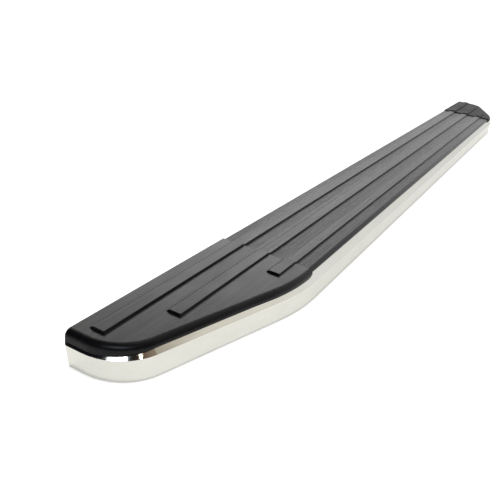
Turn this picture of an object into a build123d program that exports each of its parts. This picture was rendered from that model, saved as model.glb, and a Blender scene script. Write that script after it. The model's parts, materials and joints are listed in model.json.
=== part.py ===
from build123d import *
from math import radians, sin, tan
import os

# Running board for the side of a truck, driver or passenger hand as drawn.
# Millimetres. +X runs along the board from the long front end to the short rear end,
# +Y points inboard towards the vehicle, +Z is up. The origin is the middle of the
# bounding box on the floor the board rests on.

# ---- overall plan -------------------------------------------------------------
LENGTH = 1945.0            # overall length
WIDTH = 149.2              # overall width
FRONT_X = -LENGTH / 2      # outer face of the trim at the front end
REAR_X = LENGTH / 2        # outer face of the trim at the rear end
TRIM_Y = -WIDTH / 2        # outboard face of the trim
CAP_PROUD = 1.2            # how far the caps stand out past the deck's inboard edge
DECK_Y = WIDTH / 2 - CAP_PROUD   # inboard edge of the deck

FRONT_CAP_LENGTH = 311.0
REAR_CAP_LENGTH = 237.0
FRONT_SEAM_X = FRONT_X + FRONT_CAP_LENGTH
REAR_SEAM_X = REAR_X - REAR_CAP_LENGTH

END_LEAN = 5.0                 # both end faces lean in by this much down to the floor
FRONT_TAPER_LENGTH = 276.6     # from the front end to where the side turns straight
FRONT_NOSE_WIDTH = 71.5        # width of the front end before its corner is rounded
FRONT_NOSE_RADIUS = 63.0
FRONT_BEND_RADIUS = 300.0
REAR_TAPER_LENGTH = 188.0
REAR_NOSE_WIDTH = 71.0
REAR_NOSE_RADIUS = 45.0
REAR_BEND_RADIUS = 200.0

# ---- heights --------------------------------------------------------------------
TREAD_TOP = 43.4           # walking surface between the ribs
TREAD_SKIN = 2.0
TREAD_FLAT_EDGE = 134.0    # where the tread's outboard side starts to round over
TREAD_SIDE = 141.0         # outboard face of the tread
TREAD_SIDE_DROP = 7.0      # height of the rounded side
TREAD_FOOT = 39.8          # lower edge of the tread's rounded outboard side
PLATE = 3.0                # thickness of the extrusion's deck plate
PLATE_TOP = TREAD_TOP - TREAD_SKIN
PLATE_UNDER = PLATE_TOP - PLATE
CAP_TOP = TREAD_TOP + 2.0  # the caps stand 2 mm above the tread
CAP_UNDER = PLATE_TOP + 0.1

# ---- ribs -----------------------------------------------------------------------
RIB_CENTRES = (25.0, 65.2, 105.5)   # distance outboard of the deck's inboard edge
RIB_FOOT_WIDTH = 19.6
RIB_HEIGHT = 2.9
RIB_INBOARD_RUN = 3.5      # how far a rib's inboard side leans in, foot to top
RIB_OUTBOARD_RUN = 1.0     # the same for its steep outboard side
FRONT_RIB_GAPS = (20.6, 99.0, 262.0)    # front end to the end of each rib
REAR_RIB_GAPS = (15.0, 70.0, 181.0)
RIB_END_SLOPE = 1.0        # the same for a rib's free end
GROOVED_FLATS = ((4, 12.5), (38, 52), (78, 93), (118, 131))
GROOVE_PITCH = 3.5
GROOVE_DEPTH = 0.4

# ---- trim sheet, measured inwards from its outer face -----------------------------
SHEET = 1.2
FACE_HEIGHT = 28.5         # flat face, floor to crease
SHOULDER_DEPTH = 10.0      # how far the shoulder leans in
LIP_TOP = PLATE_UNDER - 0.2
LIP_DEPTH = 24.0
FLANGE_DEPTH = 18.0
TRIM_FREE_EDGE = 2.0       # the sheet's two ends stop this far from the deck's inboard edge

# ---- deck plate, side angle and channel rails ---------------------------------------
PLATE_INSET = 12.0         # deck plate edge, in from the trim face
PLATE_WIDTH = 136.0
RAIL_INSET = 25.5          # side angle and rails stop this far from the trim face
ANGLE_FOOT = 27.0          # height of the side angle's lower edge
ANGLE_WALL = 2.4
ANGLE_REACH = 9.0
SEAT = 0.05                # play left between parts that lie against each other
WELD_LENGTH = 25.0
WELD_LEG = 2.5
CHANNEL_CENTRES = (38.0, 103.0)     # outboard of the deck's inboard edge
CHANNEL_WIDTH = 25.0
CHANNEL_WALL = 2.0
CHANNEL_FOOT = 26.4
SLOT_WIDTH = 9.0
RAIL_ROOF = 1.5

# ---- end caps -----------------------------------------------------------------------
CAP_INSET = 1.5            # cap skirt, in from the trim face
CAP_WALL = 1.6
CAP_SIDE_IN = 4.0          # the caps draw in this much more beside the tread
CAP_SKIRT_FOOT = 37.5      # lower edge of the skirt along the taper
CAP_LOW_FOOT = 35.9        # the same edge just before the seam
CAP_END_FOOT = 32.2        # the same edge where it drops at the end
CAP_EDGE_RADIUS = 8.0
CAP_HOLLOW_RADIUS = 6.5
CAP_SIDE_ROUNDING = 1.8
CAP_SEAM_FOOT = 40.0       # the skirt's lower edge where it meets the tread's edge
CAP_SIDE_FOOT = 36.0       # lower edge of the cap's inboard wall
CAP_NOSE_FOOT = 28.0       # the same wall where it turns down at the end
CAP_WALL_TURN = 42.0       # end of the board to where that wall starts to turn down

# ---- fasteners ------------------------------------------------------------------------
BOLT_RADIUS = 4.0          # M8 stud
BOLT_HEAD = 20.0
BOLT_HEAD_THICK = 5.0
BOLT_END = 5.0             # height of the stud's lower end
NECK_TOP = 17.6            # a narrow neck in the stud just under the nut
NECK_LENGTH = 1.6
WASHER_RADIUS = 8.0
WASHER_THICK = 1.6
NUT_FLATS = 13.0
NUT_THICK = 6.5
STATION_X = (-560.0, 40.0, 600.0)
STATION_NAMES = ("front", "middle", "rear")
CHANNEL_NAMES = ("inner", "outer")
RIVET_RADIUS = 2.0
RIVET_INSET = 17.0
RIVET_HEAD_RADIUS = 3.8
RIVET_HEAD_THICK = 1.2
SCREW_RADIUS = 1.9
SCREW_HEAD_RADIUS = 4.0
SCREW_HEAD_THICK = 2.4
SCREW_REACH = 2.4          # how far the screws go up into the caps


def outboard(distance):
    """Y of a point so many millimetres outboard of the deck's inboard edge."""
    return DECK_Y - distance


def rounded_path(corners, radii):
    """Straight lines through the corners, each inner corner rounded by a tangent arc."""
    edges = []
    start = Vector(*corners[0])
    for before, corner, after, radius in zip(corners, corners[1:], corners[2:], radii):
        corner = Vector(*corner)
        back = (Vector(*before) - corner).normalized()
        ahead = (Vector(*after) - corner).normalized()
        half_angle = radians(back.get_angle(ahead)) / 2
        reach = radius / tan(half_angle)
        bisector = (back + ahead).normalized()
        middle = corner + bisector * (radius / sin(half_angle) - radius)
        edges.append(Line(start, corner + back * reach))
        edges.append(ThreePointArc(corner + back * reach, middle, corner + ahead * reach))
        start = corner + ahead * reach
    edges.append(Line(start, Vector(*corners[-1])))
    return edges


def plan_area(inset, lean=0.0, side_in=0.0):
    """The board's plan shape at the trim's crease, drawn in by inset, open past the inboard side.

    With a lean, both end lines stand that much nearer the middle. With side_in, only the
    long outboard side stands that much further in.
    """
    far_side = DECK_Y + 100
    front_slope = (outboard(FRONT_NOSE_WIDTH) - TRIM_Y) / FRONT_TAPER_LENGTH
    rear_slope = (outboard(REAR_NOSE_WIDTH) - TRIM_Y) / REAR_TAPER_LENGTH
    front = FRONT_X + lean
    rear = REAR_X - lean
    side = TRIM_Y + side_in
    corners = [
        (front, far_side),
        (front, outboard(FRONT_NOSE_WIDTH) - lean * front_slope),
        (FRONT_X + FRONT_TAPER_LENGTH - side_in / front_slope, side),
        (REAR_X - REAR_TAPER_LENGTH + side_in / rear_slope, side),
        (rear, outboard(REAR_NOSE_WIDTH) - lean * rear_slope),
        (rear, far_side),
    ]
    radii = (FRONT_NOSE_RADIUS, FRONT_BEND_RADIUS, REAR_BEND_RADIUS, REAR_NOSE_RADIUS)
    edges = rounded_path(corners, radii)
    edges.append(Line((rear, far_side), (front, far_side)))
    area = make_face(edges)
    return area if inset == 0 else offset(area, amount=-inset, kind=Kind.INTERSECTION)


def block(x0, x1, y0, y1, z0, z1):
    """A box given by its limits."""
    box = Box(x1 - x0, y1 - y0, z1 - z0)
    return Pos((x0 + x1) / 2, (y0 + y1) / 2, (z0 + z1) / 2) * box


def slab(inset, z0, z1, side_in=0.0):
    """The plan shape as a plate between two heights."""
    area = plan_area(inset, side_in=side_in)
    return extrude(Pos(0, 0, z0) * area, amount=z1 - z0, dir=(0, 0, 1))


def along_board(profile_edges, x0, x1):
    """A closed profile drawn as (outboard distance, height) run along the board."""
    plane = Plane(origin=(x0, DECK_Y, 0), x_dir=(0, -1, 0), z_dir=(-1, 0, 0))
    profile = plane * make_face(profile_edges)
    return extrude(profile, amount=x1 - x0, dir=(1, 0, 0))


def polyline_edges(points):
    """Straight edges round a closed list of points."""
    return [Line(a, b) for a, b in zip(points, points[1:] + points[:1])]


def rib_section(centre, base):
    """Corners of a rib's section, inboard foot first, as (outboard distance, height)."""
    foot = RIB_FOOT_WIDTH / 2
    top = base + RIB_HEIGHT
    return [
        (centre - foot, base), (centre - foot + RIB_INBOARD_RUN, top),
        (centre + foot - RIB_OUTBOARD_RUN, top), (centre + foot, base),
    ]


def rib(centre, x0, x1, base, slope_start, slope_end):
    """One raised strip with sloping sides; its ends slope too where they stand free."""
    strip = along_board(polyline_edges(rib_section(centre, base)), x0, x1)
    near_side = outboard(centre - RIB_FOOT_WIDTH / 2 - 1)
    side = Plane(origin=(0, near_side, 0), x_dir=(1, 0, 0), z_dir=(0, -1, 0))
    outline = polyline_edges([
        (x0, base), (x0 + slope_start, base + RIB_HEIGHT),
        (x1 - slope_end, base + RIB_HEIGHT), (x1, base),
    ])
    return strip & extrude(side * make_face(outline), amount=RIB_FOOT_WIDTH + 2)


def taper_rivets(bend, taper, runs):
    """Rivets beside a slanting side that starts at bend, at some distances along it."""
    inwards = Vector(abs(taper.Y), abs(taper.X)) if taper.X < 0 else Vector(-taper.Y, taper.X)
    spots = [bend + taper * run + inwards * RIVET_INSET for run in runs]
    return [(spot.X, spot.Y) for spot in spots]


def rivet_spots():
    """Where the trim's lip is riveted to the deck plate: front, side and rear groups."""
    front_bend = Vector(FRONT_X + FRONT_TAPER_LENGTH, TRIM_Y)
    rear_bend = Vector(REAR_X - REAR_TAPER_LENGTH, TRIM_Y)
    front_taper = (Vector(FRONT_X, outboard(FRONT_NOSE_WIDTH)) - front_bend).normalized()
    rear_taper = (Vector(REAR_X, outboard(REAR_NOSE_WIDTH)) - rear_bend).normalized()
    front = [(FRONT_X + RIVET_INSET, outboard(14))]
    front += taper_rivets(front_bend, front_taper, (75, 165))
    side = [(FRONT_SEAM_X + 100 + 200 * i, TRIM_Y + RIVET_INSET) for i in range(7)]
    rear = [(REAR_X - RIVET_INSET, outboard(14))]
    rear += taper_rivets(rear_bend, rear_taper, (60, 120))
    return front, side, rear


FRONT_SCREWS = [
    (FRONT_SEAM_X - 30, outboard(14)), (FRONT_SEAM_X - 30, outboard(70)),
    (FRONT_SEAM_X - 150, outboard(70)), (FRONT_SEAM_X - 238, outboard(57)),
    (FRONT_SEAM_X - 255, outboard(14)),
]
REAR_SCREWS = [
    (REAR_SEAM_X + 30, outboard(14)), (REAR_SEAM_X + 30, outboard(70)),
    (REAR_SEAM_X + 120, outboard(70)), (REAR_SEAM_X + 180, outboard(57)),
    (REAR_SEAM_X + 195, outboard(14)),
]


def posts(spots, radius, z0, z1):
    """Upright cylinders at a list of plan positions."""
    return [Pos(x, y, (z0 + z1) / 2) * Cylinder(radius, z1 - z0) for x, y in spots]


def drilled(solid, spots, radius, z0, z1):
    """The solid with round holes at a list of plan positions."""
    for hole in posts(spots, radius, z0, z1):
        solid = solid - hole
    return solid


def deck_plate():
    """Aluminium plate that carries the tread, with a softened outboard edge."""
    plate = along_board(
        polyline_edges([
            (0, PLATE_UNDER), (0, PLATE_TOP), (PLATE_WIDTH - 2.8, PLATE_TOP),
            (PLATE_WIDTH - 0.9, PLATE_TOP - 0.8), (PLATE_WIDTH, PLATE_TOP - 2.8),
            (PLATE_WIDTH, PLATE_UNDER),
        ]),
        FRONT_X, REAR_X,
    )
    low, high = PLATE_UNDER - 1, PLATE_TOP + 1
    plate = plate & slab(PLATE_INSET, low, high)
    front, side, rear = rivet_spots()
    plate = drilled(plate, front + side + rear, RIVET_RADIUS + SEAT, low, high)
    return drilled(plate, FRONT_SCREWS + REAR_SCREWS, SCREW_RADIUS + 0.2, low, high)


def under_plate(profile):
    """A profile run along the board under the plate, cut back inside the trim."""
    keep = slab(RAIL_INSET, BOLT_END, PLATE_UNDER + 1)
    return along_board(polyline_edges(profile), FRONT_X, REAR_X) & keep


def side_angle():
    """Bare aluminium angle under the plate's inboard edge."""
    top = PLATE_UNDER - SEAT
    return under_plate([
        (0, top), (0, ANGLE_FOOT), (ANGLE_WALL, ANGLE_FOOT),
        (ANGLE_WALL, top - ANGLE_WALL), (ANGLE_REACH, top - ANGLE_WALL), (ANGLE_REACH, top),
    ])


def channel_rail(centre):
    """C-shaped rail with its slot facing down."""
    top = PLATE_UNDER - SEAT
    half = CHANNEL_WIDTH / 2
    inner = half - CHANNEL_WALL
    slot = SLOT_WIDTH / 2
    lip = CHANNEL_FOOT + CHANNEL_WALL
    return under_plate([
        (centre - half, top), (centre - half, CHANNEL_FOOT), (centre - slot, CHANNEL_FOOT),
        (centre - slot, lip), (centre - inner, lip), (centre - inner, top - RAIL_ROOF),
        (centre + inner, top - RAIL_ROOF), (centre + inner, lip), (centre + slot, lip),
        (centre + slot, CHANNEL_FOOT), (centre + half, CHANNEL_FOOT), (centre + half, top),
    ])


def welds(distance, outwards, spots):
    """Short fillet welds along one side of a rail or angle, under the plate."""
    top = PLATE_UNDER - SEAT
    start = distance + outwards * SEAT
    profile = [(start, top), (start + outwards * WELD_LEG, top), (start, top - WELD_LEG)]
    return [
        along_board(polyline_edges(profile), x - WELD_LENGTH / 2, x + WELD_LENGTH / 2)
        for x in spots
    ]


def tread_surface():
    """The tread's walked-on line across the board: grooved flats and three ribs."""
    line = [(0, TREAD_TOP - 0.8), (0.8, TREAD_TOP)]
    for index, (start, end) in enumerate(GROOVED_FLATS):
        groove = start
        while groove < end:
            line += [
                (groove - GROOVE_DEPTH, TREAD_TOP), (groove, TREAD_TOP - GROOVE_DEPTH),
                (groove + GROOVE_DEPTH, TREAD_TOP),
            ]
            groove += GROOVE_PITCH
        if index < len(RIB_CENTRES):
            line += rib_section(RIB_CENTRES[index], TREAD_TOP)
    return line


def tread_cover():
    """Black tread between the two caps: flats, ribs and a rounded outboard edge."""
    x0 = FRONT_SEAM_X + 0.3
    x1 = REAR_SEAM_X - 0.3
    under = PLATE_TOP + SEAT
    edge = (TREAD_FLAT_EDGE, TREAD_TOP)
    side = (TREAD_SIDE, TREAD_TOP - TREAD_SIDE_DROP)
    inner_side = (TREAD_SIDE - 1.6, TREAD_TOP - TREAD_SIDE_DROP)
    inner_edge = (TREAD_FLAT_EDGE + 0.1, under)
    surface = [(0, under)] + tread_surface() + [edge]
    edges = [Line(a, b) for a, b in zip(surface, surface[1:])]
    edges.append(ThreePointArc(edge, (TREAD_SIDE - 2.05, TREAD_TOP - 2.05), side))
    edges.append(Line(side, inner_side))
    edges.append(ThreePointArc(inner_side, (TREAD_SIDE - 3.1, TREAD_TOP - 3.32), inner_edge))
    edges.append(Line(inner_edge, (0, under)))
    cover = along_board(edges, x0, x1)
    # the lower edge is trimmed so that it clears the shoulder of the trim
    return cover - block(x0 - 1, x1 + 1, TRIM_Y, outboard(137), 30, TREAD_FOOT)


def level(z, inset, lean=0.0):
    """The plan shape drawn at a height."""
    return Pos(0, 0, z) * plan_area(inset, lean)


def outer_trim():
    """Polished sheet skirt round the front end, the outboard side and the rear end."""
    t = SHEET
    outer = loft([level(0, 0, END_LEAN), level(FACE_HEIGHT, 0)], ruled=True)
    outer = outer + loft([level(FACE_HEIGHT, 0), level(LIP_TOP, SHOULDER_DEPTH)], ruled=True)
    bend = FACE_HEIGHT - t * 0.4
    inner = loft([level(t, t, END_LEAN), level(bend, t)], ruled=True)
    inner = inner + loft([level(bend, t), level(LIP_TOP - t, SHOULDER_DEPTH + t / 2)], ruled=True)
    skirt = outer - inner
    skirt = skirt - slab(FLANGE_DEPTH, -1, t + 1)
    skirt = skirt - slab(LIP_DEPTH, LIP_TOP - t - 1, LIP_TOP + 1)
    free_edge = outboard(TRIM_FREE_EDGE)
    skirt = skirt - block(FRONT_X - 1, REAR_X + 1, free_edge, DECK_Y + 120, -1, LIP_TOP + 1)
    front, side, rear = rivet_spots()
    return drilled(skirt, front + side + rear, RIVET_RADIUS + SEAT, LIP_TOP - 2, LIP_TOP + 1)


def cap_block(inset, top, edge_radius, side_y, seam_x, end_x):
    """Solid end block: plan shape with a rounded upper edge all round the outer side."""
    low = CAP_NOSE_FOOT - 1
    solid = slab(inset, low, top, CAP_SIDE_IN)
    rim = solid.faces().sort_by(Axis.Z)[-1].edges()
    rim = [e for e in rim if e.center().Y < DECK_Y + 60 or abs(e.center().X) > LENGTH / 2 - 20]
    solid = fillet(rim, edge_radius)
    x0, x1 = min(seam_x, end_x), max(seam_x, end_x)
    return solid & block(x0, x1, TRIM_Y - 5, side_y, low, top + 1)


def skirt_cutter(end_x, seam_x, way):
    """What is cut away under the cap's skirt: lower at the end, a step up at the seam."""
    side = Plane(origin=(end_x, TRIM_Y - 5, 0), x_dir=(way, 0, 0), z_dir=(0, -way, 0))
    seam = abs(seam_x - end_x)
    low = CAP_NOSE_FOOT - 5
    edges = [
        Line((-5, low), (-5, CAP_END_FOOT)),
        Line((-5, CAP_END_FOOT), (4, CAP_END_FOOT)),
        ThreePointArc((4, CAP_END_FOOT), (28, 35.8), (75, CAP_SKIRT_FOOT)),
        Line((75, CAP_SKIRT_FOOT), (seam - 120, CAP_SKIRT_FOOT)),
        Line((seam - 120, CAP_SKIRT_FOOT), (seam - 60, CAP_LOW_FOOT)),
        Line((seam - 60, CAP_LOW_FOOT), (seam - 12, CAP_LOW_FOOT)),
        ThreePointArc((seam - 12, CAP_LOW_FOOT), (seam - 5, 37.2), (seam, CAP_SEAM_FOOT)),
        Line((seam, CAP_SEAM_FOOT), (seam + 2, CAP_SEAM_FOOT)),
        Line((seam + 2, CAP_SEAM_FOOT), (seam + 2, low)),
        Line((seam + 2, low), (-5, low)),
    ]
    reach = DECK_Y + 0.1 - (TRIM_Y - 5)
    return extrude(side * make_face(edges), amount=reach, dir=(0, 1, 0))


def inboard_wall_cutter(end_x, way):
    """What is cut away under the cap's inboard wall, which turns down to the trim at the end."""
    turn = end_x + way * CAP_WALL_TURN
    wall = Plane(origin=(turn, DECK_Y - 5, 0), x_dir=(way, 0, 0), z_dir=(0, -way, 0))
    low = CAP_NOSE_FOOT - 8
    end_foot = CAP_NOSE_FOOT + 0.5
    edges = [
        Line((-24, low), (400, low)),
        Line((400, low), (400, CAP_SIDE_FOOT)),
        Line((400, CAP_SIDE_FOOT), (0, CAP_SIDE_FOOT)),
        ThreePointArc((0, CAP_SIDE_FOOT), (-12, 33.6), (-22, end_foot)),
        Line((-22, end_foot), (-24, low)),
    ]
    return extrude(wall * make_face(edges), amount=12, dir=(0, 1, 0))


def end_cap(front):
    """Moulded end cap: rounded shell, ribs, an inboard wall and a stepped skirt."""
    way = 1 if front else -1            # towards the middle of the board
    end_x = FRONT_X if front else REAR_X
    seam_x = FRONT_SEAM_X if front else REAR_SEAM_X
    side_y = DECK_Y + CAP_PROUD
    shell = cap_block(CAP_INSET, CAP_TOP, CAP_EDGE_RADIUS, side_y, seam_x, end_x - way)
    top_edges = [
        e for e in shell.faces().sort_by(Axis.Y)[-1].edges()
        if e.center().Z > CAP_NOSE_FOOT + 3 and abs(e.center().X - seam_x) > 1
        and not (e.geom_type == GeomType.LINE and abs(e.tangent_at(0.5).Z) > 0.9)
    ]
    shell = fillet(top_edges, CAP_SIDE_ROUNDING)
    shell = shell - cap_block(
        CAP_INSET + CAP_WALL, CAP_UNDER, CAP_HOLLOW_RADIUS, DECK_Y + 0.1,
        seam_x + way * 5, end_x - way)
    shell = shell - skirt_cutter(end_x, seam_x, way)
    shell = shell - inboard_wall_cutter(end_x, way)
    for centre, gap in zip(RIB_CENTRES, FRONT_RIB_GAPS if front else REAR_RIB_GAPS):
        if front:
            shell = shell + rib(centre, end_x + gap, seam_x, CAP_TOP, RIB_END_SLOPE, 0)
        else:
            shell = shell + rib(centre, seam_x, end_x - gap, CAP_TOP, 0, RIB_END_SLOPE)
    spots = FRONT_SCREWS if front else REAR_SCREWS
    return drilled(shell, spots, SCREW_RADIUS + SEAT, CAP_UNDER - 2, CAP_UNDER + 2.6)


def rivets(spots):
    """Blind rivets: a low round head under the trim's lip, the shank up into the plate."""
    head_top = LIP_TOP - SHEET - 0.1
    foot = head_top - RIVET_HEAD_THICK
    heads = posts(spots, RIVET_HEAD_RADIUS, foot, head_top)
    shanks = posts(spots, RIVET_RADIUS, foot, PLATE_TOP - 0.2)
    return [head + shank for head, shank in zip(heads, shanks)]


def cap_screws(spots):
    """Pan head screws driven up through the plate into a cap."""
    head_top = PLATE_UNDER - 0.1
    foot = head_top - SCREW_HEAD_THICK
    screws = []
    for x, y in spots:
        head = Pos(x, y, (head_top + foot) / 2) * Cylinder(SCREW_HEAD_RADIUS, SCREW_HEAD_THICK)
        head = fillet(head.edges().sort_by(Axis.Z)[0], 1.2)
        drive = Pos(x, y, foot) * (Box(5.0, 1.0, 2.4) + Box(1.0, 5.0, 2.4))
        shank = posts([(x, y)], SCREW_RADIUS, head_top - 1, CAP_UNDER + SCREW_REACH)[0]
        screws.append(head + shank - drive)
    return screws


def slide_bolt(x, centre):
    """T-bolt: a square head that rides inside the channel, and a stud through the slot."""
    y = outboard(centre)
    seat = CHANNEL_FOOT + CHANNEL_WALL + SEAT
    head = Pos(x, y, seat + BOLT_HEAD_THICK / 2) * Box(BOLT_HEAD, BOLT_HEAD, BOLT_HEAD_THICK)
    head = chamfer(head.edges().filter_by(Axis.Z), 1.5)
    stud = Pos(x, y, (seat + 1 + BOLT_END) / 2) * Cylinder(BOLT_RADIUS, seat + 1 - BOLT_END)
    stud = chamfer(stud.edges().sort_by(Axis.Z)[0], 0.8)
    neck = Cylinder(BOLT_RADIUS + 1, NECK_LENGTH) - Cylinder(BOLT_RADIUS - 0.6, NECK_LENGTH)
    return head + stud - Pos(x, y, NECK_TOP - NECK_LENGTH / 2) * neck


def slide_washer(x, centre):
    """Flat washer under the channel's lips."""
    top = CHANNEL_FOOT - SEAT
    ring = Cylinder(WASHER_RADIUS, WASHER_THICK) - Cylinder(BOLT_RADIUS + 0.35, WASHER_THICK + 1)
    return Pos(x, outboard(centre), top - WASHER_THICK / 2) * ring


def slide_nut(x, centre):
    """Hexagon nut under the washer, running on the stud with a small clearance."""
    top = CHANNEL_FOOT - SEAT - WASHER_THICK - 0.02
    nut = extrude(RegularPolygon(NUT_FLATS / 2, 6, major_radius=False), amount=NUT_THICK)
    dome = Pos(0, 0, NUT_THICK / 2) * Cylinder(NUT_FLATS / 2 + 0.7, NUT_THICK)
    nut = nut & chamfer(dome.edges(), 0.6)
    nut = nut - Pos(0, 0, NUT_THICK / 2) * Cylinder(BOLT_RADIUS + SEAT, NUT_THICK + 1)
    return Pos(x, outboard(centre), top - NUT_THICK) * nut


os.makedirs("parts", exist_ok=True)

front_spots, side_spots, rear_spots = rivet_spots()
weld_spots = [FRONT_SEAM_X + 60 + 160 * i for i in range(9)]
rail_welds = []
for rail_centre in CHANNEL_CENTRES:
    for hand in (-1, 1):
        rail_welds += welds(rail_centre + hand * CHANNEL_WIDTH / 2, hand, weld_spots)
nodes = {
    "deck_plate": deck_plate(),
    "side_angle": side_angle(),
    "channel_rail_inner": channel_rail(CHANNEL_CENTRES[0]),
    "channel_rail_outer": channel_rail(CHANNEL_CENTRES[1]),
    "tread_cover": tread_cover(),
    "outer_trim": outer_trim(),
    "front_end_cap": end_cap(True),
    "rear_end_cap": end_cap(False),
    "rail_welds": Compound(rail_welds),
    "angle_welds": Compound(welds(ANGLE_REACH, 1, weld_spots)),
    "trim_rivets_front": Compound(rivets(front_spots)),
    "trim_rivets_side": Compound(rivets(side_spots)),
    "trim_rivets_rear": Compound(rivets(rear_spots)),
    "cap_screws_front": Compound(cap_screws(FRONT_SCREWS)),
    "cap_screws_rear": Compound(cap_screws(REAR_SCREWS)),
}
for station, x in zip(STATION_NAMES, STATION_X):
    for channel, centre in zip(CHANNEL_NAMES, CHANNEL_CENTRES):
        place = station + "_" + channel
        nodes["slide_bolt_" + place] = slide_bolt(x, centre)
        nodes["slide_washer_" + place] = slide_washer(x, centre)
        nodes["slide_nut_" + place] = slide_nut(x, centre)

for name, shape in nodes.items():
    export_step(shape, "parts/" + name + ".step")
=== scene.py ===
import json
import math

import bpy
from mathutils import Matrix, Vector


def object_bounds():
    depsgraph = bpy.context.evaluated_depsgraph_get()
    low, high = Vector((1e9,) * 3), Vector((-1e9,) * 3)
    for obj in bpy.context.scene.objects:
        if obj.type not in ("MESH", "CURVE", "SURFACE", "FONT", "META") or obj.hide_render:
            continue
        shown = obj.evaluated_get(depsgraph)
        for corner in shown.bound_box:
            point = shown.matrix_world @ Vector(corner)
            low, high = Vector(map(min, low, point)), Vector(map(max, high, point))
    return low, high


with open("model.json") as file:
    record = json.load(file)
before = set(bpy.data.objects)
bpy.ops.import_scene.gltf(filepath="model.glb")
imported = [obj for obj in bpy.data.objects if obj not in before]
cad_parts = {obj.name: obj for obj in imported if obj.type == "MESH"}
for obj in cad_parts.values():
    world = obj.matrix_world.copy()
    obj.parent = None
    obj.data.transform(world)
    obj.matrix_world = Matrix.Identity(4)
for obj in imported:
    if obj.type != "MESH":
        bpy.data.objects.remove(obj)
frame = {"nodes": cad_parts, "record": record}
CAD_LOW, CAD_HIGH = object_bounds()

NODES = frame["nodes"]

# ---- the view, in metres -----------------------------------------------------------
CAMERA_PLACE = Vector((-1.3589, -0.3115, 0.4058))
CAMERA_TARGET = Vector((-0.5816, 0.0679, 0.0))
CAMERA_ROLL = 7.8           # degrees, clockwise in the picture
CAMERA_LENS = 43.95         # mm
CAMERA_SENSOR = 36.0        # mm
CAMERA_CLIP = (0.01, 100.0)

# ---- the floor -----------------------------------------------------------------------
FLOOR_REACH = 30.0
FLOOR_GAP = 0.0002          # the floor lies this far below the board
FLOOR_GLOW = 0.85           # painted light: the floor shines a little of its own, like a light table, so it stays white and shadowless
PAINTED_SHADOW_REACH = 0.005             # reach of the painted contact shadow, a dimming of the floor's own glow where the board meets it
PAINTED_SHADOW_GLOW_SHARE = 0.45         # share of the floor's own glow that is left in that painted shadow

# ---- the surroundings ------------------------------------------------------------------
WHITE_SIDE = (0.95, 0.0, 0.31)      # direction in which the surroundings are white
SURROUND_COLOURS = (                # from the side away from it to the white side
    (0.50, (0.006, 0.006, 0.008)), (0.585, (0.03, 0.018, 0.010)), (0.64, (0.165, 0.10, 0.07)),
    (0.727, (0.33, 0.27, 0.21)), (0.772, (0.50, 0.45, 0.38)), (0.79, (0.88, 0.84, 0.76)),
    (0.86, (0.94, 0.93, 0.90)), (0.94, (1.0, 1.0, 1.0)),
)
SURROUND = 1.12                     # their strength without the brighter band
GLOW_BAND = (                       # (sine of the height, share of the peak) of that band
    (0.20, 0.0), (0.25, 0.04), (0.32, 0.04), (0.39, 0.78), (0.42, 1.0), (0.49, 0.95), (0.55, 0.06),
    (0.70, 0.0),
)
GLOW_PEAK = 6.3                     # what the band adds on the inboard side
GLOW_SIDE = (0.10, 0.34)            # Y directions between which it fades in

# ---- the lamps ---------------------------------------------------------------------------
NOSE_HEIGHT = 0.03                  # the softboxes face the board's front end at this height
SOFTBOX_AWAY = 2.0                  # and stand this far from it
CORNER_WAY = Vector((-0.53, -0.31, 0.77))
CORNER_SIZE = (0.92, 0.7)
CORNER_POWER = 15.0
CORNER_TINT = (0.86, 0.93, 1.0)
GLINT_WAY = Vector((-0.03, -0.64, 0.77))
GLINT_SIZE = (0.10, 0.2)
GLINT_POWER = 0.6
GLINT_TINT = (1.0, 0.93, 0.87)
SUN_WAY = Vector((-0.5, -0.35, 0.8))
SUN_STRENGTH = 0.9
SUN_ANGLE = 90.0                    # degrees, wide enough for soft shadows

# ---- the finishes ------------------------------------------------------------------------
BEVEL_SAMPLES = 4
ROLLOVER = (0.0026, 0.0186)         # where the tread's edge rounds over, inboard of the skirt's face
ROLLOVER_DROP = 0.0025
PLASTIC_TINT = (0.95, 0.95, 1.0, 1.0)
CAP_ROUGHNESS = 0.26
DULL_CAP_ROUGHNESS = 0.50
DULL_CAP_NODE = "rear_end_cap"


# ---- node helpers --------------------------------------------------------------
def new_material(name):
    """An empty node material with its shader; returns the material, its tree and the shader."""
    material = bpy.data.materials.new(name)
    material.use_nodes = True
    tree = material.node_tree
    return material, tree, tree.nodes["Principled BSDF"]


def set_shader(shader, **values):
    """Sets constants on the shader's own sockets; underscores stand for spaces."""
    for key, value in values.items():
        shader.inputs[key.replace("_", " ")].default_value = value


def place(tree, scale):
    """Object coordinates stretched by a scale for each axis."""
    coords = tree.nodes.new("ShaderNodeTexCoord")
    mapping = tree.nodes.new("ShaderNodeMapping")
    mapping.inputs["Scale"].default_value = scale
    tree.links.new(coords.outputs["Object"], mapping.inputs["Vector"])
    return mapping.outputs["Vector"]


def noise(tree, scale, detail=4.0, roughness=0.55, size=1.0):
    """A noise value between 0 and 1, stretched by scale."""
    node = tree.nodes.new("ShaderNodeTexNoise")
    node.inputs["Scale"].default_value = size
    node.inputs["Detail"].default_value = detail
    node.inputs["Roughness"].default_value = roughness
    tree.links.new(place(tree, scale), node.inputs["Vector"])
    return node.outputs["Fac"]


def remap(tree, value, low, high, new_low, new_high):
    """Maps a value's range to another, clamped."""
    node = tree.nodes.new("ShaderNodeMapRange")
    for socket, number in zip(("From Min", "From Max", "To Min", "To Max"),
                              (low, high, new_low, new_high)):
        node.inputs[socket].default_value = number
    tree.links.new(value, node.inputs["Value"])
    return node.outputs["Result"]


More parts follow.
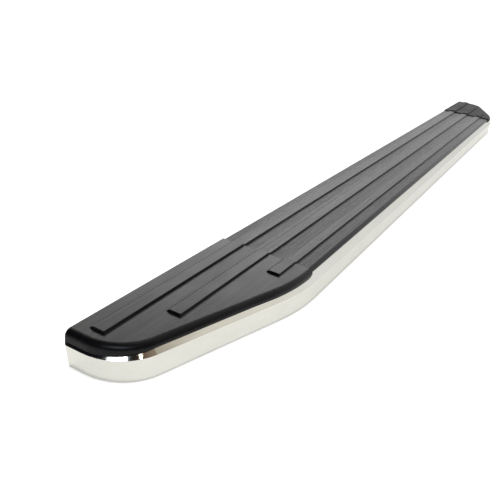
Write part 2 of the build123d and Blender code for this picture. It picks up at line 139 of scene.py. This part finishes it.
def ramp(tree, value, stops):
    """A colour ramp from (position, colour) stops."""
    node = tree.nodes.new("ShaderNodeValToRGB")
    elements = node.color_ramp.elements
    elements[0].position, elements[0].color = stops[0][0], (*stops[0][1], 1)
    elements[1].position, elements[1].color = stops[-1][0], (*stops[-1][1], 1)
    for position, colour in stops[1:-1]:
        elements.new(position).color = (*colour, 1)
    tree.links.new(value, node.inputs["Fac"])
    return node.outputs["Color"]


def blend_colours(tree, factor, first, second):
    """Mixes two colours; either may be a socket or a plain colour."""
    node = tree.nodes.new("ShaderNodeMix")
    node.data_type = "RGBA"
    for name, value in (("Factor", factor), ("A", first), ("B", second)):
        socket = [s for s in node.inputs if s.name == name and s.enabled][0]
        if isinstance(value, bpy.types.NodeSocket):
            tree.links.new(value, socket)
        else:
            socket.default_value = value if name == "Factor" else (*value, 1)
    return [s for s in node.outputs if s.enabled][0]


def mix_values(tree, operation, first, second):
    """One maths node on two values; the second may be a plain number."""
    node = tree.nodes.new("ShaderNodeMath")
    node.operation = operation
    tree.links.new(first, node.inputs[0])
    if isinstance(second, bpy.types.NodeSocket):
        tree.links.new(second, node.inputs[1])
    else:
        node.inputs[1].default_value = second
    return node.outputs[0]


def bump(tree, shader, layers, edge):
    """Stacks bump layers of (height, strength, distance) over a slightly rounded edge."""
    bevel = tree.nodes.new("ShaderNodeBevel")
    bevel.samples = BEVEL_SAMPLES
    bevel.inputs["Radius"].default_value = edge
    normal = bevel.outputs["Normal"]
    for height, strength, distance in layers:
        node = tree.nodes.new("ShaderNodeBump")
        node.inputs["Strength"].default_value = strength
        node.inputs["Distance"].default_value = distance
        tree.links.new(height, node.inputs["Height"])
        tree.links.new(normal, node.inputs["Normal"])
        normal = node.outputs["Normal"]
    tree.links.new(normal, shader.inputs["Normal"])


# ---- materials -------------------------------------------------------------------
def tread_black():
    """Satin black tread: fine lengthwise grain, faint dust, and a softly rounded outboard edge."""
    material, tree, shader = new_material("tread_black")
    streaks = noise(tree, (2.5, 260, 260), detail=6, roughness=0.65)
    hairs = noise(tree, (6, 1400, 1400), detail=3)
    patches = noise(tree, (5, 22, 22), detail=5)
    base = ramp(tree, streaks, [(0.3, (0.005, 0.005, 0.006)), (0.5, (0.009, 0.009, 0.010)),
                                (0.72, (0.016, 0.016, 0.017))])
    dusty = blend_colours(tree, remap(tree, patches, 0.45, 0.75, 0.0, 0.22), base,
                          (0.030, 0.030, 0.029))
    tree.links.new(dusty, shader.inputs["Base Color"])
    rough = mix_values(tree, "ADD", remap(tree, hairs, 0.3, 0.7, 0.20, 0.29),
                       remap(tree, patches, 0.4, 0.8, 0.0, 0.08))
    tree.links.new(rough, shader.inputs["Roughness"])
    set_shader(shader, IOR=1.22, Specular_Tint=PLASTIC_TINT)
    axes = tree.nodes.new("ShaderNodeSeparateXYZ")
    tree.links.new(place(tree, (1, 1, 1)), axes.inputs["Vector"])
    foot, top = (CAD_LOW.y + reach for reach in ROLLOVER)
    rollover = remap(tree, axes.outputs["Y"], foot, top, 0.0, 1.0)
    rollover.node.interpolation_type = "SMOOTHSTEP"
    bump(tree, shader, [(rollover, 1.0, ROLLOVER_DROP), (streaks, 0.5, 0.0008), (hairs, 0.35, 0.0003)],
         edge=0.0005)
    return material


def cap_black(name, roughness):
    """Moulded satin black cap: faint lengthwise flow lines over a fine stipple."""
    material, tree, shader = new_material(name)
    stipple = noise(tree, (1800, 1800, 1800), detail=2)
    flow = noise(tree, (4, 130, 60), detail=6, roughness=0.6)
    patches = noise(tree, (14, 30, 30), detail=4)
    base = ramp(tree, flow, [(0.3, (0.002, 0.002, 0.0025)), (0.55, (0.0035, 0.0035, 0.004)),
                             (0.8, (0.007, 0.007, 0.0075))])
    tree.links.new(base, shader.inputs["Base Color"])
    rough = mix_values(tree, "ADD", remap(tree, patches, 0.3, 0.75, roughness, roughness + 0.08),
                       remap(tree, stipple, 0.2, 0.8, 0.0, 0.06))
    tree.links.new(rough, shader.inputs["Roughness"])
    set_shader(shader, IOR=1.24, Specular_Tint=PLASTIC_TINT)
    bump(tree, shader, [(flow, 0.35, 0.0008), (stipple, 0.2, 0.00012)], edge=0.0008)
    return material


def polished_steel():
    """Mirror-polished stainless sheet: faint buffing lines, slow ripple, light smudges."""
    material, tree, shader = new_material("polished_steel")
    ripple = noise(tree, (7, 7, 16), detail=2)
    buffing = noise(tree, (5, 5, 900), detail=4)
    smudge = noise(tree, (16, 40, 60), detail=6, roughness=0.7)
    base = ramp(tree, smudge, [(0.3, (0.64, 0.635, 0.59)), (0.7, (0.60, 0.595, 0.55))])
    tree.links.new(base, shader.inputs["Base Color"])
    rough = mix_values(tree, "ADD", remap(tree, smudge, 0.45, 0.8, 0.06, 0.17),
                       remap(tree, buffing, 0.3, 0.7, 0.0, 0.05))
    tree.links.new(rough, shader.inputs["Roughness"])
    set_shader(shader, Metallic=1.0, Specular_Tint=(0.80, 0.80, 0.79, 1.0))
    bump(tree, shader, [(ripple, 0.10, 0.004), (buffing, 0.04, 0.0002)], edge=0.0005)
    return material


def aluminium():
    """Mill-finish extrusion: die lines along its length and a dull bloom."""
    material, tree, shader = new_material("aluminium")
    die_lines = noise(tree, (1.5, 900, 900), detail=5, roughness=0.7)
    bloom = noise(tree, (8, 20, 20), detail=6, roughness=0.65)
    base = ramp(tree, bloom, [(0.3, (0.60, 0.605, 0.61)), (0.7, (0.78, 0.785, 0.79))])
    tree.links.new(base, shader.inputs["Base Color"])
    rough = mix_values(tree, "ADD", remap(tree, bloom, 0.3, 0.75, 0.26, 0.42),
                       remap(tree, die_lines, 0.3, 0.7, 0.0, 0.08))
    tree.links.new(rough, shader.inputs["Roughness"])
    set_shader(shader, Metallic=1.0)
    bump(tree, shader, [(die_lines, 0.25, 0.0003)], edge=0.0004)
    return material


def zinc_steel():
    """Zinc-plated fasteners: bluish plating with yellow passivation and small scratches."""
    material, tree, shader = new_material("zinc_steel")
    plating = noise(tree, (160, 160, 160), detail=4)
    scratches = noise(tree, (2600, 500, 500), detail=3)
    base = ramp(tree, plating, [(0.35, (0.60, 0.62, 0.64)), (0.55, (0.70, 0.70, 0.67)),
                                (0.75, (0.74, 0.70, 0.58))])
    tree.links.new(base, shader.inputs["Base Color"])
    rough = mix_values(tree, "ADD", remap(tree, plating, 0.3, 0.7, 0.22, 0.36),
                       remap(tree, scratches, 0.4, 0.8, 0.0, 0.12))
    tree.links.new(rough, shader.inputs["Roughness"])
    set_shader(shader, Metallic=1.0)
    bump(tree, shader, [(scratches, 0.2, 0.0001)], edge=0.0004)
    return material


def floor_white():
    """Pale matte floor, barely mottled, whose painted glow dims where the board touches it, a painted
    contact shadow.
    """
    material, tree, shader = new_material("floor_white")
    mottle = noise(tree, (0.8, 0.8, 0.8), detail=3)
    base = ramp(tree, mottle, [(0.3, (0.50, 0.50, 0.50)), (0.7, (0.53, 0.53, 0.53))])
    tree.links.new(base, shader.inputs["Base Color"])
    set_shader(shader, Roughness=0.9, Specular_IOR_Level=0.1, Emission_Color=(1.0, 0.995, 0.975, 1.0))
    # painted contact shadow: ambient occlusion dims the floor's own glow near the board
    painted_shadow = tree.nodes.new("ShaderNodeAmbientOcclusion")
    painted_shadow.inputs["Distance"].default_value = PAINTED_SHADOW_REACH
    glow = remap(tree, painted_shadow.outputs["AO"], 0.45, 0.95, FLOOR_GLOW * PAINTED_SHADOW_GLOW_SHARE, FLOOR_GLOW)
    tree.links.new(glow, shader.inputs["Emission Strength"])
    return material


FINISHES = {
    "tread_black": tread_black(),
    "cap_black": cap_black("cap_black", CAP_ROUGHNESS),
    "polished_steel": polished_steel(),
    "aluminium": aluminium(),
    "zinc_steel": zinc_steel(),
}
DULL_CAP = cap_black("cap_black_dull", DULL_CAP_ROUGHNESS)


def dress_frame():
    """Gives every CAD node the finish that its record slot names; the rear cap's is duller."""
    slots = {row["node"]: row["material_slot"] for row in frame["record"]["subparts"]}
    for name, node in NODES.items():
        node.data.materials.clear()
        finish = DULL_CAP if name == DULL_CAP_NODE else FINISHES[slots[name]]
        node.data.materials.append(finish)
        for face in node.data.polygons:
            face.material_index = 0


def make_floor():
    """One large quad under the board."""
    mesh = bpy.data.meshes.new("floor")
    reach = FLOOR_REACH
    corners = [(-reach, -reach, 0), (reach, -reach, 0), (reach, reach, 0), (-reach, reach, 0)]
    mesh.from_pydata(corners, [], [(0, 1, 2, 3)])
    floor = bpy.data.objects.new("floor", mesh)
    bpy.context.collection.objects.link(floor)
    floor.location.z = CAD_LOW.z - FLOOR_GAP
    mesh.materials.append(floor_white())


def make_world():
    """White surroundings beyond the board with a brighter band, dark ones behind the camera.

    The dark ones only show in reflections: a view that looks that way sees plain white.
    """
    world = bpy.data.worlds.new("studio")
    bpy.context.scene.world = world
    world.use_nodes = True
    tree = world.node_tree
    coords = tree.nodes.new("ShaderNodeTexCoord")
    facing = tree.nodes.new("ShaderNodeVectorMath")
    facing.operation = "DOT_PRODUCT"
    facing.inputs[1].default_value = WHITE_SIDE
    tree.links.new(coords.outputs["Generated"], facing.inputs[0])
    share = remap(tree, facing.outputs["Value"], -1.0, 1.0, 0.0, 1.0)
    colour = ramp(tree, share, SURROUND_COLOURS)
    axes = tree.nodes.new("ShaderNodeSeparateXYZ")
    tree.links.new(coords.outputs["Generated"], axes.inputs["Vector"])
    band = ramp(tree, axes.outputs["Z"], [(height, (share,) * 3) for height, share in GLOW_BAND])
    inboard = remap(tree, axes.outputs["Y"], *GLOW_SIDE, 0.0, GLOW_PEAK)
    glow = mix_values(tree, "MULTIPLY", band, inboard)
    path = tree.nodes.new("ShaderNodeLightPath")
    seen = blend_colours(tree, path.outputs["Is Camera Ray"], colour, (1.0, 1.0, 1.0))
    background = tree.nodes["Background"]
    tree.links.new(seen, background.inputs["Color"])
    tree.links.new(mix_values(tree, "ADD", glow, SURROUND), background.inputs["Strength"])


def softbox(name, way, size, power, tint):
    """A rectangular area light that stands off from the board's front end and faces it."""
    nose = Vector((CAD_LOW.x, 0.0, NOSE_HEIGHT))
    light = bpy.data.lights.new(name, "AREA")
    light.shape = "RECTANGLE"
    light.size, light.size_y = size
    light.energy = power
    light.color = tint
    lamp = bpy.data.objects.new(name, light)
    lamp.location = nose + way * SOFTBOX_AWAY
    lamp.rotation_mode = "QUATERNION"
    lamp.rotation_quaternion = way.to_track_quat("Z", "Y")
    bpy.context.collection.objects.link(lamp)


def make_lights():
    """Two softboxes that shine in the polished corner, and a wide glow for the floor."""
    softbox("corner_softbox", CORNER_WAY, CORNER_SIZE, CORNER_POWER, CORNER_TINT)
    softbox("glint_softbox", GLINT_WAY, GLINT_SIZE, GLINT_POWER, GLINT_TINT)
    sun = bpy.data.lights.new("glow", "SUN")
    sun.energy = SUN_STRENGTH
    sun.angle = math.radians(SUN_ANGLE)
    glow = bpy.data.objects.new("glow", sun)
    glow.rotation_euler = SUN_WAY.to_track_quat("Z", "Y").to_euler()
    glow.visible_glossy = False
    bpy.context.collection.objects.link(glow)


def make_camera():
    """Looks along the board from its front end, tipped a little to one side."""
    data = bpy.data.cameras.new("camera")
    data.lens = CAMERA_LENS
    data.sensor_width = CAMERA_SENSOR
    data.clip_start, data.clip_end = CAMERA_CLIP
    camera = bpy.data.objects.new("camera", data)
    forward = (CAMERA_TARGET - CAMERA_PLACE).normalized()
    right = forward.cross(Vector((0, 0, 1))).normalized()
    down = forward.cross(right)
    turn = math.radians(CAMERA_ROLL)
    rolled_right = right * math.cos(turn) - down * math.sin(turn)
    rolled_down = right * math.sin(turn) + down * math.cos(turn)
    rotation = Matrix((rolled_right, -rolled_down, -forward)).transposed().to_4x4()
    camera.matrix_world = Matrix.Translation(CAMERA_PLACE) @ rotation
    bpy.context.collection.objects.link(camera)
    bpy.context.scene.camera = camera


dress_frame()
make_floor()
make_world()
make_lights()
make_camera()
bpy.context.scene.view_settings.view_transform = "Standard"
